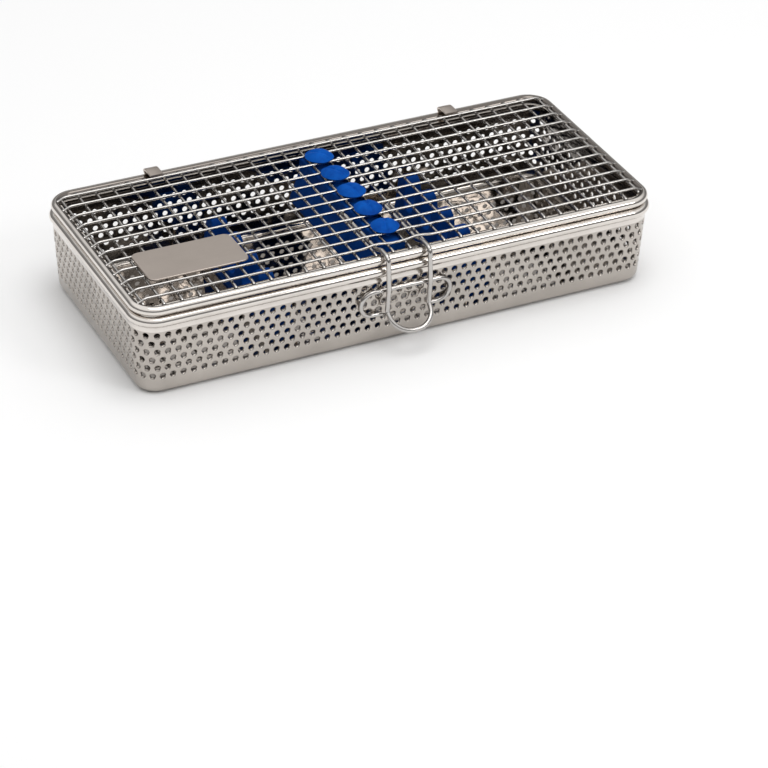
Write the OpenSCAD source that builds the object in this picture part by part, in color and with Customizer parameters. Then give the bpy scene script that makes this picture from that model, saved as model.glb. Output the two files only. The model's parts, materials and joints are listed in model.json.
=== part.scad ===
// Cassette for dental hand instruments: a perforated steel tray with a rolled rim,
// a hinged lid of welded wire mesh in a rolled frame, and a sprung wire latch.
// Millimetres. X runs along the instruments, the latch faces -Y and the hinges face +Y.
// The origin is the centre of the face that the tray stands on.

/* [Tray] */
// Length of the tray across the tops of its end walls
tray_l = 180.6; // [150:0.1:220]
// Width of the tray across the tops of its front and back walls
tray_w = 80.6; // [75:0.1:110]
// Height from the table to the top of the rolled rim
tray_h = 28.6; // [26.5:0.1:40]
// Outer radius of the upright corners at the top of the wall
corner_r = 8.5; // [7:0.5:12]
// Lean of the walls, in degrees from upright
draft = 3.5; // [0:0.5:5]
// Thickness of the tray sheet
sheet = 0.8; // [0.6:0.1:1]
// Outer radius of the bend between the floor and the walls
foot_r = 3; // [2:0.25:4]
// Outer radius of the rolled rim
rim_r = 1.7; // [1.4:0.1:2]
// How far the rolled rim stands out past the wall
rim_bulge = 1; // [0.6:0.1:1.2]
// Width of the flat lip that the rim turns in with
rim_lip = 1.2; // [0.6:0.1:2]

/* [Perforation] */
// Diameter of the holes
hole_d = 2; // [1.5:0.1:2.5]
// Distance between neighbouring holes, centre to centre
hole_pitch = 3.5; // [3.2:0.1:5]
// Number of staggered rows round the wall
hole_rows = 6; // [1:1:6]
// Height from the top of the rim down to the first row
first_row_drop = 6.6; // [5.5:0.1:8]

/* [Lid frame] */
// Gap between the rim of the tray and the closed lid
lid_gap = 0.3; // [0.2:0.05:0.6]
// How far the lid frame sits inside the outermost line of the rim
lid_setback = 0.75; // [0.5:0.05:1]
// Outer radius of the rolled edge of the lid frame
roll_r = 1.55; // [1.3:0.05:1.8]
// Thickness of the lid frame sheet
frame_t = 0.8; // [0.6:0.1:1]
// Width of the frame along the ends, from its outer edge to the window
end_flange = 2.65; // [2.6:0.05:5]
// Width of the frame along the front and back, from its outer edge to the window
side_flange = 4.25; // [3.5:0.05:6]
// Corner radius of the window in the frame
window_r = 4; // [2:0.5:6]

/* [Wire mesh] */
// Diameter of the mesh wires
wire_d = 1; // [0.8:0.1:1.2]
// Distance between the wires that run the length of the lid
long_pitch = 6.2; // [5.8:0.05:6.4]
// Distance between the wires that run across the lid
cross_pitch = 5.97; // [5.5:0.01:6]
// Distance from the end of a long wire to the outer edge of the frame
long_inset = 1.9; // [1.7:0.05:2.2]
// Length of the down-turned end of a long wire, along the wire
end_turn = 1.2; // [0.8:0.1:1.5]
// Distance from the end of a cross wire to the outer edge of the frame
cross_inset = 2.9; // [2.8:0.05:3.2]

/* [Silicone racks] */
// Distance between the two racks, centre to centre
rack_span = 70; // [60:1:90]
// Offset of the pair of racks along the tray
rack_shift = -1.5; // [-6:0.5:6]
// Number of teeth on a rack
rack_teeth = 5; // [3:1:5]
// Distance between the teeth
rack_pitch = 12.4; // [11:0.1:12.4]
// Thickness of a tooth along the rack
tooth_w = 5.4; // [4.5:0.1:6]
// Height of a rack above its rail
rack_h = 17.8; // [15:0.1:18]
// Depth of the slots between the teeth
slot_depth = 10; // [6:0.5:12]
// Width of a rack at its tips
rack_top_w = 5.2; // [4:0.1:6]
// Width of a rack at its foot
rack_foot_w = 8.6; // [7:0.1:12]
// Height of the straight foot of a rack, which sits in the rail
rack_foot_h = 2.6; // [2:0.1:4]
// Thickness of the rail sheet
rail_t = 0.8; // [0.6:0.1:1]
// Clearance between a rack and the lips of its rail
rack_fit = 0.1; // [0.05:0.05:0.3]

/* [Hold-down] */
// Length of the hold-down bar across the lid
hold_l = 63; // [50:1:66]
// Width of the bar under the mesh
hold_top_w = 8.4; // [7:0.1:10]
// Width of the bar at its lower face
hold_foot_w = 15.6; // [12:0.2:18]
// Height of the straight upper part of the bar, above its flared skirt
hold_neck_h = 5.4; // [3:0.1:8]
// Height of the bar
hold_h = 15.8; // [10:0.2:16.5]
// Gap between the bar and the wires above it
hold_gap = 0.2; // [0.1:0.05:0.4]
// Number of knobs that hold the bar to the mesh
knobs = 5; // [3:2:5]
// Number of mesh cells from one knob to the next
knob_cells = 2; // [2:1:2]
// Diameter of a knob
knob_d = 9.6; // [8:0.1:10.5]
// Height of a knob above the mesh
knob_h = 2.4; // [1.8:0.1:3]
// Diameter of the stem of a knob
stem_d = 4.2; // [3:0.1:4.2]
// Depth of the stem in the bar
stem_depth = 6; // [4:0.5:8]
// Clearance round the stem in the bar
stem_fit = 0.1; // [0.05:0.05:0.2]

/* [Latch] */
// Diameter of the latch wire
latch_d = 1.6; // [1.4:0.1:1.8]
// Distance between the two legs of the latch
latch_span = 14.5; // [14:0.25:15.5]
// Distance from the middle of the lid to the welded ends of the legs
latch_start = 8.5; // [6:0.5:12]
// Gap between the latch and the lid frame that it passes over
latch_lift = 0.3; // [0.25:0.05:0.5]
// Distance between the lid frame and the axis of the legs in front of it
latch_reach = 1.9; // [1.85:0.05:2.2]
// Height from the bar of the catch down to the inward kink of the legs
kink_drop = 7.2; // [6:0.1:8]
// How far the kink lies in from the legs beside the catch
kink_in = 0.8; // [0.5:0.05:0.8]
// Inward lean of the legs beside the catch, as a share of their height
leg_slope = 0.08; // [0:0.01:0.12]
// How far past the top of the frame's roll the loop starts
split_past = 0.1; // [0:0.05:0.3]
// Gap between the ends of the loop and the legs on the lid
split_gap = 0.3; // [0.3:0.05:0.5]
// How far the finger loop stands out from the kink
loop_out = 6; // [4:0.25:8]
// How far the finger loop drops below the kink
loop_drop = 5; // [4.5:0.25:7]
// Bend radius of the legs where they turn down over the frame
shoulder_r = 2.2; // [1.6:0.1:2.5]
// Bend radius of the legs beside the bar of the catch
beside_r = 6; // [4:0.25:7]
// Bend radius of the kink
kink_r = 1.2; // [1:0.1:1.6]
// Length of the straight bottom of the finger loop
pull_flat = 1.4; // [1:0.1:3]

/* [Catch] */
// Diameter of the catch wire
catch_d = 1.5; // [1.3:0.1:1.6]
// Overall length of the catch
catch_l = 32.7; // [28:0.1:40]
// Height of the catch, between the axes of its bar and its ends
catch_h = 9; // [8:0.1:10]
// Height from the top of the rim down to the bar of the catch
catch_drop = 7.8; // [7.6:0.1:9]
// Gap between the bar and the wall, where the latch snaps under it
catch_gap = 0.5; // [0.3:0.05:0.6]
// Distance between the two ends of the catch wire
catch_open = 16; // [12:0.5:18]
// Length of the straight wire between the two bends at an end of the catch
catch_flat = 0.1; // [0.1:0.1:1]

/* [Hinges] */
// Distance between the two hinges
hinge_span = 107; // [80:1:120]
// Width of a hinge strap
strap_w = 5; // [4:0.25:8]
// Thickness of a hinge strap
strap_t = 0.8; // [0.6:0.1:1]
// Inner radius of the bend of a strap over the edge of the lid
strap_bend = 3.3; // [2.6:0.1:3.6]
// Gap between a strap and the rolled rims that it passes
strap_gap = 0.3; // [0.25:0.05:0.5]
// Diameter of the hinge pins
pin_d = 2; // [1.6:0.1:2.4]
// Clearance of the strap's curl round its pin
pin_fit = 0.1; // [0.05:0.05:0.15]
// Height from the top of the rim down to the hinge pins
pin_drop = 6.6; // [6.4:0.1:8]
// Thickness of the bracket sheet
bracket_t = 1; // [0.8:0.1:1.2]
// Clearance between the strap and the ears of its bracket
ear_fit = 0.3; // [0.2:0.05:0.5]
// Height of a bracket
bracket_h = 5; // [4.5:0.1:5.5]

/* [Label plate] */
// Length of the plate
label_l = 33.6; // [24:0.1:36]
// Width of the plate
label_w = 17.6; // [14:0.1:18]
// Thickness of the plate
label_t = 0.6; // [0.4:0.1:0.8]
// Corner radius of the plate
label_r = 2.5; // [1:0.5:4]
// Distance from the left end of the lid to the plate
label_end_gap = 9.8; // [6:0.1:20]
// Distance from the front of the lid to the plate
label_front_gap = 13.8; // [10:0.1:18]

/* [Hidden] */

// Fineness of round shapes, and of the swept wires
fine = 64;
wire_sides = 12;
bend_steps = 6;
arc_steps = 16;
// Overshoot of cuts
past = 1;

// The wall: its slope, and the centre lines of the upright corners
slope = tan(draft);
half_l = tray_l / 2 - corner_r;
half_w = tray_w / 2 - corner_r;
// The rim's roll: its centre, as a distance from a corner's axis and a height
rim_u = corner_r + rim_bulge - rim_r;
rim_z = tray_h - rim_r;
wall_top = rim_z - sqrt(rim_r * rim_r - (rim_r - rim_bulge) * (rim_r - rim_bulge));
wall_base = foot_r * (1 - sin(draft));
wall_len = (wall_top - wall_base) / cos(draft);
// Distance of the wall's outer face from a corner's axis, at a height
function wall_u(z) = corner_r - (wall_top - z) * slope;
function wall_y(z) = half_w + wall_u(z);
foot_u = wall_u(wall_base) - foot_r * cos(draft);

// The rows of holes: every second row is shifted by half a pitch
row_step = hole_pitch * sin(60);
function row_z(j) = tray_h - first_row_drop - j * row_step * cos(draft);
function row_shift(j) = (j % 2) * hole_pitch / 2;
function last_hole(half, j) =
    row_shift(j) + floor((half - row_shift(j)) / hole_pitch) * hole_pitch;
// The holes round a corner carry on from the last hole of each straight
function corner_arc_len(j) = wall_u(row_z(j)) * PI / 2;
function corner_run(j) = (half_l - last_hole(half_l, j)) + corner_arc_len(j)
    + (half_w - last_hole(half_w, j));
quarter_holes = (last_hole(half_l, 0) + last_hole(half_w, 0)) / hole_pitch
    + round(corner_run(0) / hole_pitch);
function corner_steps(j) = quarter_holes
    - (last_hole(half_l, j) + last_hole(half_w, j)) / hole_pitch;
function corner_hole(j, k) = last_hole(half_l, j) - half_l
    + k * corner_run(j) / corner_steps(j);

// The lid frame
lid_u = corner_r + rim_bulge - lid_setback;
lid_half_l = half_l + lid_u;
lid_half_w = half_w + lid_u;
roll_u = lid_u - roll_r;
flange_u = roll_u - roll_r + frame_t;
roll_z = tray_h + lid_gap + roll_r;
roll_top = roll_z + roll_r;
flange_top = roll_z + frame_t;
window_half_l = lid_half_l - end_flange;
window_half_w = lid_half_w - side_flange;

// The mesh lies on the flange: cross wires below, long wires on top
cross_z = flange_top + wire_d / 2;
long_z = cross_z + wire_d;
mesh_top = long_z + wire_d / 2;
long_count = 1 + floor(2 * (window_half_w - wire_d) / long_pitch);
cross_count = 1 + floor(2 * (window_half_l - wire_d) / cross_pitch);
// Half the length of a wire that lies at a distance across from the middle: it ends
// short of the roll by its inset, also where the roll turns the corner
function wire_half(half, other_half, reach, across) =
    half + sqrt(pow(reach, 2) - pow(max(across - other_half, 0), 2));

// The racks stand in rails on the floor
rail_z = sheet;
rack_z = rail_z + rail_t;
rack_l = (rack_teeth - 1) * rack_pitch + tooth_w;
slot_w = rack_pitch - tooth_w;
lip_h = rack_foot_h - rack_fit;

// The hold-down bar hangs under the cross wires
hold_z = flange_top - hold_gap;
knob_pitch = knob_cells * long_pitch;

// The latch: its legs lie under the long wires, pass over the frame and hang in front
arm_z = long_z - wire_d / 2 - latch_d / 2;
over_z = roll_top + latch_lift + latch_d / 2;
split_y = -(half_w + roll_u + split_past);
last_wire_y = (long_count - 1) / 2 * long_pitch;
catch_z = tray_h - catch_drop;
kink_z = catch_z - kink_drop;
leg_y = -(lid_half_w + latch_reach);
beside_y = leg_y - (over_z - catch_z) * leg_slope;
kink_y = beside_y + kink_in;

// The catch: its ends lie on the wall and its bar stands off it
catch_end_z = catch_z - catch_h;
catch_end_y = -(wall_y(catch_end_z) + catch_d / 2);
catch_bar_y = -(wall_y(catch_z) + catch_gap + catch_d / 2);
catch_bend = (catch_h - catch_flat) / 2;

// The hinges: a strap hugs the rims and curls round a pin in a bracket
pin_z = tray_h - pin_drop;
strap_face = half_w + corner_r + rim_bulge + strap_gap;
curl_in = pin_d / 2 + pin_fit;
curl_out = curl_in + strap_t;
pin_y = strap_face + curl_out;
ear_gap = strap_w + 2 * ear_fit;
bracket_w = ear_gap + 2 * bracket_t;

// A unit vector, and the direction of a path at one of its points
function unit(v) = v / norm(v);
function heading(path, i) =
    unit(path[min(i + 1, len(path) - 1)] - path[max(i - 1, 0)]);

// The points of a bend of radius r at corner b, on the way from a to c
function bend(a, b, c, r) =
    let (u = unit(a - b), v = unit(c - b), half = acos(u * v) / 2, turn = 180 - 2 * half)
    let (centre = b + unit(u + v) * r / sin(half), reach = r / tan(half))
    let (p = b + u * reach - centre, q = b + v * reach - centre)
    [for (k = [0:bend_steps]) let (s = k / bend_steps)
        centre + (sin((1 - s) * turn) * p + sin(s * turn) * q) / sin(turn)];

// A path through corner points, with a bend of its own radius at each inner one
function bent(corners, radii) = concat(
    [corners[0]],
    [for (i = [1:len(corners) - 2])
        each bend(corners[i - 1], corners[i], corners[i + 1], radii[i - 1])],
    [corners[len(corners) - 1]]
);

// A round wire swept along a path, with its rings square to the path
module wire(path, d, side) {
    last = len(path) - 1;
    normals = [for (i = 0, n = side; i <= last;
        i = i + 1, n = i <= last ? n - (n * heading(path, i)) * heading(path, i) : n)
        unit(n - (n * heading(path, i)) * heading(path, i))];
    rings = [for (i = [0:last], k = [0:wire_sides - 1])
        let (a = 360 * k / wire_sides, n = normals[i], b = cross(heading(path, i), n))
        path[i] + d / 2 * (cos(a) * n + sin(a) * b)];
    walls = [for (i = [0:last - 1], k = [0:wire_sides - 1])
        let (a = i * wire_sides + k, b = i * wire_sides + (k + 1) % wire_sides)
        each [[a, a + wire_sides, b], [b, a + wire_sides, b + wire_sides]]];
    start = [for (k = [0:wire_sides - 1]) k];
    end = [for (k = [wire_sides - 1:-1:0]) last * wire_sides + k];
    polyhedron(rings, concat(walls, [start, end]));
}

// A straight round bar from one point to another
module bar(from, to, d) {
    v = to - from;
    translate(from)
        rotate([0, acos(v[2] / norm(v)), atan2(v[1], v[0])])
            cylinder(d = d, h = norm(v), $fn = fine / 2);
}

// A rectangle with round corners of radius r, centred
module round_rect(x, y, r) {
    square([x - 2 * r, y], center = true);
    square([x, y - 2 * r], center = true);
    for (sx = [-1, 1], sy = [-1, 1])
        translate([sx * (x / 2 - r), sy * (y / 2 - r)]) circle(r, $fn = fine);
}

// A profile, drawn as distance from a corner's axis and height, carried round the tray
module ring() {
    for (s = [-1, 1]) {
        rotate([0, 0, s * 90]) translate([half_w, 0, 0])
            rotate([90, 0, 0]) linear_extrude(2 * half_l, center = true) children();
        rotate([0, 0, 90 - s * 90]) translate([half_l, 0, 0])
            rotate([90, 0, 0]) linear_extrude(2 * half_w, center = true) children();
    }
    at_corners() rotate_extrude(angle = 90, $fn = fine) children();
}

// Something that stands at the first corner's axis, repeated at all four
module at_corners() {
    translate([half_l, half_w, 0]) children();
    translate([-half_l, half_w, 0]) rotate([0, 0, 90]) children();
    translate([-half_l, -half_w, 0]) rotate([0, 0, 180]) children();
    translate([half_l, -half_w, 0]) rotate([0, 0, 270]) children();
}

// A straight, leaning wall with its rows of holes, outer face on the XZ plane
module wall(half, other_half) {
    rotate([90 + draft, 0, 0]) translate([0, 0, -sheet]) linear_extrude(sheet)
        difference() {
            translate([-half, 0]) square([2 * half, wall_len]);
            for (j = [0:hole_rows - 1])
                translate([0, (row_z(j) - wall_base) / cos(draft)])
                    wall_row(half, other_half, j);
        }
}

// One row of holes along a wall, with the holes that its corners share with it
module wall_row(half, other_half, j) {
    last = last_hole(half, j);
    turn_in = (half - last) + corner_arc_len(j) + (other_half - last_hole(other_half, j));
    step = turn_in / corner_steps(j);
    for (x = [row_shift(j):hole_pitch:last + past / 2], s = [-1, 1])
        if (x > 0 || s > 0) translate([s * x, 0]) circle(d = hole_d, $fn = fine / 4);
    if (last + step - hole_d / 2 < half)
        for (s = [-1, 1])
            translate([s * (last + step), 0]) circle(d = hole_d, $fn = fine / 4);
}

// A leaning, rounded corner of the tray with its rows of holes
module corner() {
    difference() {
        rotate_extrude(angle = 90, $fn = fine) wall_profile();
        for (j = [0:hole_rows - 1], k = [0:corner_steps(j)]) {
            s = corner_hole(j, k);
            if (s > -hole_d / 2 && s < corner_arc_len(j) + hole_d / 2)
                rotate([0, 0, 90 - s / corner_arc_len(j) * 90])
                    translate([wall_u(row_z(j)), 0, row_z(j)]) rotate([0, 90 + draft, 0])
                        cylinder(d = hole_d, h = 4 * sheet, center = true, $fn = fine / 4);
        }
    }
}

// The leaning wall in section
module wall_profile() {
    polygon([
        [wall_u(wall_base), wall_base],
        [corner_r, wall_top],
        [corner_r - sheet * cos(draft), wall_top + sheet * sin(draft)],
        [wall_u(wall_base) - sheet * cos(draft), wall_base + sheet * sin(draft)]
    ]);
}

// Points along an arc about a centre, from one direction to another
function arc(centre, r, from, to) = [for (k = [0:arc_steps])
    let (a = from + (to - from) * k / arc_steps) centre + r * [cos(a), sin(a)]];

// A bent sheet in section, from one direction to another about a centre
module arc_band(centre, r_out, r_in, from, to) {
    polygon(concat(arc(centre, r_out, from, to), arc(centre, r_in, to, from)));
}

// The flat floor, up to where it bends into the walls
module tray_floor() {
    color("silver") linear_extrude(sheet)
        round_rect(2 * (half_l + foot_u), 2 * (half_w + foot_u), foot_u);
}

// The bend between the floor and the walls
module tray_foot_bend() {
    color("silver") ring()
        arc_band([foot_u, foot_r], foot_r, foot_r - sheet, 270, 360 - draft);
}

module tray_front_wall() {
    color("silver") translate([0, -wall_y(wall_base), wall_base]) wall(half_l, half_w);
}

module tray_back_wall() {
    color("silver") rotate([0, 0, 180])
        translate([0, -wall_y(wall_base), wall_base]) wall(half_l, half_w);
}

module end_wall() {
    translate([0, -(half_l + wall_u(wall_base)), wall_base]) wall(half_w, half_l);
}

module tray_left_wall() {
    color("silver") rotate([0, 0, -90]) end_wall();
}

module tray_right_wall() {
    color("silver") rotate([0, 0, 90]) end_wall();
}

// The corners alternate in hand, so that each starts at a long wall
module tray_corners() {
    color("silver") for (sx = [0, 1], sy = [0, 1])
        mirror([sx, 0, 0]) mirror([0, sy, 0]) translate([half_l, half_w, 0]) corner();
}

// The rolled rim, which turns out over the wall and in again as a flat lip
module tray_rim() {
    crease = -acos((rim_r - rim_bulge) / rim_r);
    centre = [rim_u, rim_z];
    color("silver") ring() polygon(concat(
        arc(centre, rim_r, crease, 90),
        [[rim_u - rim_lip, tray_h], [rim_u - rim_lip, tray_h - sheet]],
        arc(centre, rim_r - sheet, 90, -90),
        [[corner_r - sheet * cos(draft), wall_top + sheet * sin(draft)]]
    ));
}

// The catch: a wire loop on the front wall, open at the bottom
module catch_wire() {
    x = (catch_l - catch_d) / 2;
    color("gainsboro") wire(bent([
        [-catch_open / 2, catch_end_y, catch_end_z],
        [-x, catch_end_y, catch_end_z],
        [-x, catch_bar_y, catch_z],
        [x, catch_bar_y, catch_z],
        [x, catch_end_y, catch_end_z],
        [catch_open / 2, catch_end_y, catch_end_z]
    ], [catch_bend, catch_bend, catch_bend, catch_bend]), catch_d, [0, 0, 1]);
}

// A hinge bracket: a plate on the back wall and two ears bored for the pin
module hinge_bracket() {
    color("silver") difference() {
        union() {
            translate([-bracket_w / 2, wall_y(pin_z), pin_z]) rotate([-draft, 0, 0])
                translate([0, 0, -bracket_h / 2]) cube([bracket_w, bracket_t, bracket_h]);
            for (s = [-1, 1])
                translate([s * (bracket_w - bracket_t) / 2, 0, pin_z]) ear();
        }
        bar([-bracket_w, pin_y, pin_z], [bracket_w, pin_y, pin_z], pin_d);
    }
}

module ear() {
    root_y = wall_y(pin_z) + bracket_t / 2;
    translate([-bracket_t / 2, root_y, -bracket_h / 2])
        cube([bracket_t, pin_y - root_y, bracket_h]);
    translate([-bracket_t / 2, pin_y, 0]) rotate([0, 90, 0])
        cylinder(d = bracket_h, h = bracket_t, $fn = fine);
}

module hinge_pin() {
    color("gainsboro")
        bar([-bracket_w / 2, pin_y, pin_z], [bracket_w / 2, pin_y, pin_z], pin_d);
}

// A hinge strap: from the first long wire over the frame, down and round the pin
module hinge_strap() {
    color("silver") translate([-strap_w / 2, 0, 0]) rotate([90, 0, 90])
        linear_extrude(strap_w) difference() {
            union() {
                translate([last_wire_y - wire_d, mesh_top])
                    square([strap_face - strap_bend - last_wire_y + wire_d, strap_t]);
                arc_band([strap_face - strap_bend, mesh_top - strap_bend],
                    strap_bend + strap_t, strap_bend, 0, 90);
                translate([strap_face, pin_z])
                    square([strap_t, mesh_top - strap_bend - pin_z]);
                translate([pin_y, pin_z]) circle(curl_out, $fn = fine);
            }
            translate([pin_y, pin_z]) circle(curl_in, $fn = fine);
        }
}

// A rail on the floor, with a lip along each side of the rack
module rack_rail() {
    w = rack_foot_w + 2 * rack_fit + 2 * rail_t;
    color("silver") translate([0, rack_l / 2, rail_z]) rotate([90, 0, 0])
        linear_extrude(rack_l) {
            translate([-w / 2, 0]) square([w, rail_t]);
            for (s = [-1, 1])
                translate([s * (w - rail_t) / 2 - rail_t / 2, 0])
                    square([rail_t, rail_t + lip_h]);
        }
}

// A silicone rack: a tapered comb with round tips and round slots
module rack() {
    color([0.03, 0.2, 0.55]) translate([0, 0, rack_z]) intersection() {
        rotate([90, 0, 0]) linear_extrude(rack_l + past, center = true) polygon([
            [-rack_foot_w / 2, 0], [rack_foot_w / 2, 0],
            [rack_foot_w / 2, rack_foot_h], [rack_top_w / 2, rack_h],
            [-rack_top_w / 2, rack_h], [-rack_foot_w / 2, rack_foot_h]
        ]);
        rotate([90, 0, 90]) linear_extrude(rack_foot_w + past, center = true) comb();
    }
}

// The comb as it is seen along the tray
module comb() {
    difference() {
        translate([-rack_l / 2, 0]) square([rack_l, rack_h - tooth_w / 2]);
        for (i = [0:rack_teeth - 2])
            translate([(i - (rack_teeth - 2) / 2) * rack_pitch, rack_h - slot_depth]) {
                translate([0, slot_w / 2]) circle(d = slot_w, $fn = fine);
                translate([-slot_w / 2, slot_w / 2]) square([slot_w, rack_h]);
            }
    }
    for (i = [0:rack_teeth - 1])
        translate([(i - (rack_teeth - 1) / 2) * rack_pitch, rack_h - tooth_w / 2])
            circle(d = tooth_w, $fn = fine);
}

// The lid frame: a flat flange round the window, with its outer edge rolled down
module lid_frame() {
    color("silver") {
        translate([0, 0, flange_top - frame_t]) linear_extrude(frame_t) difference() {
            round_rect(2 * (half_l + flange_u), 2 * (half_w + flange_u), flange_u);
            round_rect(2 * window_half_l, 2 * window_half_w, window_r);
        }
        ring() arc_band([roll_u, roll_z], roll_r, roll_r - frame_t, -90, 150);
    }
}

// The wires across the lid, which end on the front and back flanges
module lid_cross_wires() {
    color("gainsboro") for (i = [0:cross_count - 1]) {
        x = (i - (cross_count - 1) / 2) * cross_pitch;
        y = wire_half(half_w, half_l, lid_u - cross_inset, abs(x));
        bar([x, -y, cross_z], [x, y, cross_z], wire_d);
    }
}

// The wires along the lid, with their ends turned down to the end flanges
module lid_long_wires() {
    color("gainsboro") for (i = [0:long_count - 1]) {
        y = (i - (long_count - 1) / 2) * long_pitch;
        x = wire_half(half_l, half_w, lid_u - long_inset, abs(y));
        wire(bent([
            [-x, y, cross_z], [end_turn - x, y, long_z],
            [x - end_turn, y, long_z], [x, y, cross_z]
        ], [wire_d, wire_d]), wire_d, [0, 0, 1]);
    }
}

// The blank label plate on top of the mesh
module label_plate() {
    x = lid_half_l - label_end_gap - label_l / 2;
    y = lid_half_w - label_front_gap - label_w / 2;
    color([0.68, 0.65, 0.62]) translate([-x, -y, mesh_top])
        linear_extrude(label_t) round_rect(label_l, label_w, label_r);
}

// The silicone bar under the mesh that holds the instruments down
module hold_down_bar() {
    color([0.03, 0.2, 0.55]) difference() {
        translate([0, 0, hold_z - hold_h]) rotate([90, 0, 0])
            linear_extrude(hold_l, center = true) polygon([
                [-hold_foot_w / 2, 0], [hold_foot_w / 2, 0],
                [hold_top_w / 2, hold_h - hold_neck_h], [hold_top_w / 2, hold_h],
                [-hold_top_w / 2, hold_h], [-hold_top_w / 2, hold_h - hold_neck_h]
            ]);
        at_knobs() translate([0, 0, hold_z - stem_depth])
            cylinder(d = stem_d + 2 * stem_fit, h = stem_depth + past, $fn = fine);
    }
}

module at_knobs() {
    for (i = [0:knobs - 1])
        translate([0, (i - (knobs - 1) / 2) * knob_pitch, 0]) children();
}

// The knobs: flat domes on stems that pass through the mesh into the bar
module hold_down_knobs() {
    color([0.05, 0.3, 0.75]) at_knobs() {
        rim = knob_h / 3;
        translate([0, 0, mesh_top]) rotate_extrude($fn = fine) polygon(concat(
            [[0, 0], [knob_d / 2, 0], [knob_d / 2, rim]],
            [for (a = [10:10:90]) [knob_d / 2 * cos(a), rim + (knob_h - rim) * sin(a)]]
        ));
        translate([0, 0, hold_z - stem_depth + stem_fit])
            cylinder(d = stem_d, h = mesh_top - hold_z + stem_depth, $fn = fine);
    }
}

// The welded ends of the latch wire, from under the mesh to the top of the frame
module latch_arms() {
    rise_y = -(last_wire_y + wire_d / 2 + latch_d / 6);
    top_y = split_y + split_gap + wire_d;
    color("gainsboro") for (s = [-1, 1]) wire(bent([
        [s * latch_span / 2, -latch_start, arm_z],
        [s * latch_span / 2, rise_y, arm_z],
        [s * latch_span / 2, top_y, over_z],
        [s * latch_span / 2, split_y + split_gap, over_z]
    ], [latch_d, wire_d]), latch_d, [1, 0, 0]);
}

// The sprung loop of the latch: down in front, in at the kink and out as a finger pull
module latch_loop() {
    x = latch_span / 2;
    pull_r = x - pull_flat / 2;
    down = [
        [-x, split_y, over_z], [-x, leg_y, over_z], [-x, beside_y, catch_z + wire_d],
        [-x, kink_y, kink_z], [-x, kink_y - loop_out, kink_z - loop_drop]
    ];
    up = [for (i = [len(down) - 1:-1:0]) [x, down[i][1], down[i][2]]];
    color("gainsboro") wire(
        bent(concat(down, up), [shoulder_r, beside_r, kink_r, pull_r,
            pull_r, kink_r, beside_r, shoulder_r]), latch_d, [0, 0, 1]
    );
}

module place_rack(s) {
    translate([rack_shift + s * rack_span / 2, 0, 0]) children();
}

module place_hinge(s) {
    translate([s * hinge_span / 2, 0, 0]) children();
}

tray_floor();
tray_foot_bend();
tray_front_wall();
tray_back_wall();
tray_left_wall();
tray_right_wall();
tray_corners();
tray_rim();
catch_wire();
place_hinge(-1) hinge_bracket();  // left_hinge_bracket
place_hinge(1) hinge_bracket();  // right_hinge_bracket
place_hinge(-1) hinge_pin();  // left_hinge_pin
place_hinge(1) hinge_pin();  // right_hinge_pin
place_rack(-1) rack_rail();  // left_rack_rail
place_rack(1) rack_rail();  // right_rack_rail
place_rack(-1) rack();  // left_rack
place_rack(1) rack();  // right_rack
lid_frame();
lid_cross_wires();
lid_long_wires();
label_plate();
place_hinge(-1) hinge_strap();  // left_hinge_strap
place_hinge(1) hinge_strap();  // right_hinge_strap
hold_down_bar();
hold_down_knobs();
latch_arms();
latch_loop();
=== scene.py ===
# %% [markdown]
# # A mesh-lidded instrument cassette
# The cassette is a deep-drawn tray of perforated steel with a rolled rim, a lid of welded
# wire mesh in a rolled frame, silicone racks and a silicone hold-down, and one bent wire
# that latches it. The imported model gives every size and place. This scene gives the skin:
# smooth rolled edges, dished holes, weld feet, moulded silicone and worn, polished steel.

# %% Load the frame
import json
from math import asin, cos, pi, radians, sin, sqrt, tan

import bpy
import bmesh
import numpy as np
from mathutils import Matrix, Vector


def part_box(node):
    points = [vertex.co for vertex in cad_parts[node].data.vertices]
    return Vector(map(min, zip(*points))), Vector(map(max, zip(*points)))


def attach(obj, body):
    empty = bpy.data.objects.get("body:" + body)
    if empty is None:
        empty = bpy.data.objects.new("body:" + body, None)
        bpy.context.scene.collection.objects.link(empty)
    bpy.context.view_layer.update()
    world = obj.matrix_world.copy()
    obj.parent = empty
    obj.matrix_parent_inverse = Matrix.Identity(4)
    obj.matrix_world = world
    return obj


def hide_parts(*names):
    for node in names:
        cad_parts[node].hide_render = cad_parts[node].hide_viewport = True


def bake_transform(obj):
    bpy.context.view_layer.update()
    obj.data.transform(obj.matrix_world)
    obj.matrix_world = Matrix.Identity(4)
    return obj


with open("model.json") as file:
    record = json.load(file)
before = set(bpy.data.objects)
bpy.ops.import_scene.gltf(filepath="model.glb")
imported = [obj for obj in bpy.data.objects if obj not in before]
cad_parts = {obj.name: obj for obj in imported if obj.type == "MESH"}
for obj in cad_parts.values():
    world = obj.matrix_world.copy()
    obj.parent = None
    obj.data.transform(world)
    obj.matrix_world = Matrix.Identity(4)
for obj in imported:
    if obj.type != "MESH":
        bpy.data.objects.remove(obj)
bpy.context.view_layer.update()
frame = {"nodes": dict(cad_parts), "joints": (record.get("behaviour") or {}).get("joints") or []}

print("nodes:", len(frame["nodes"]))

# %% [markdown]
# ## Sizes
# The sheet, the rims and the wires are drawn again here as smooth surfaces, so their
# driving sizes are named once, in metres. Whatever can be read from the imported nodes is
# read from their boxes, which keeps the skin on the solids.

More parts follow.
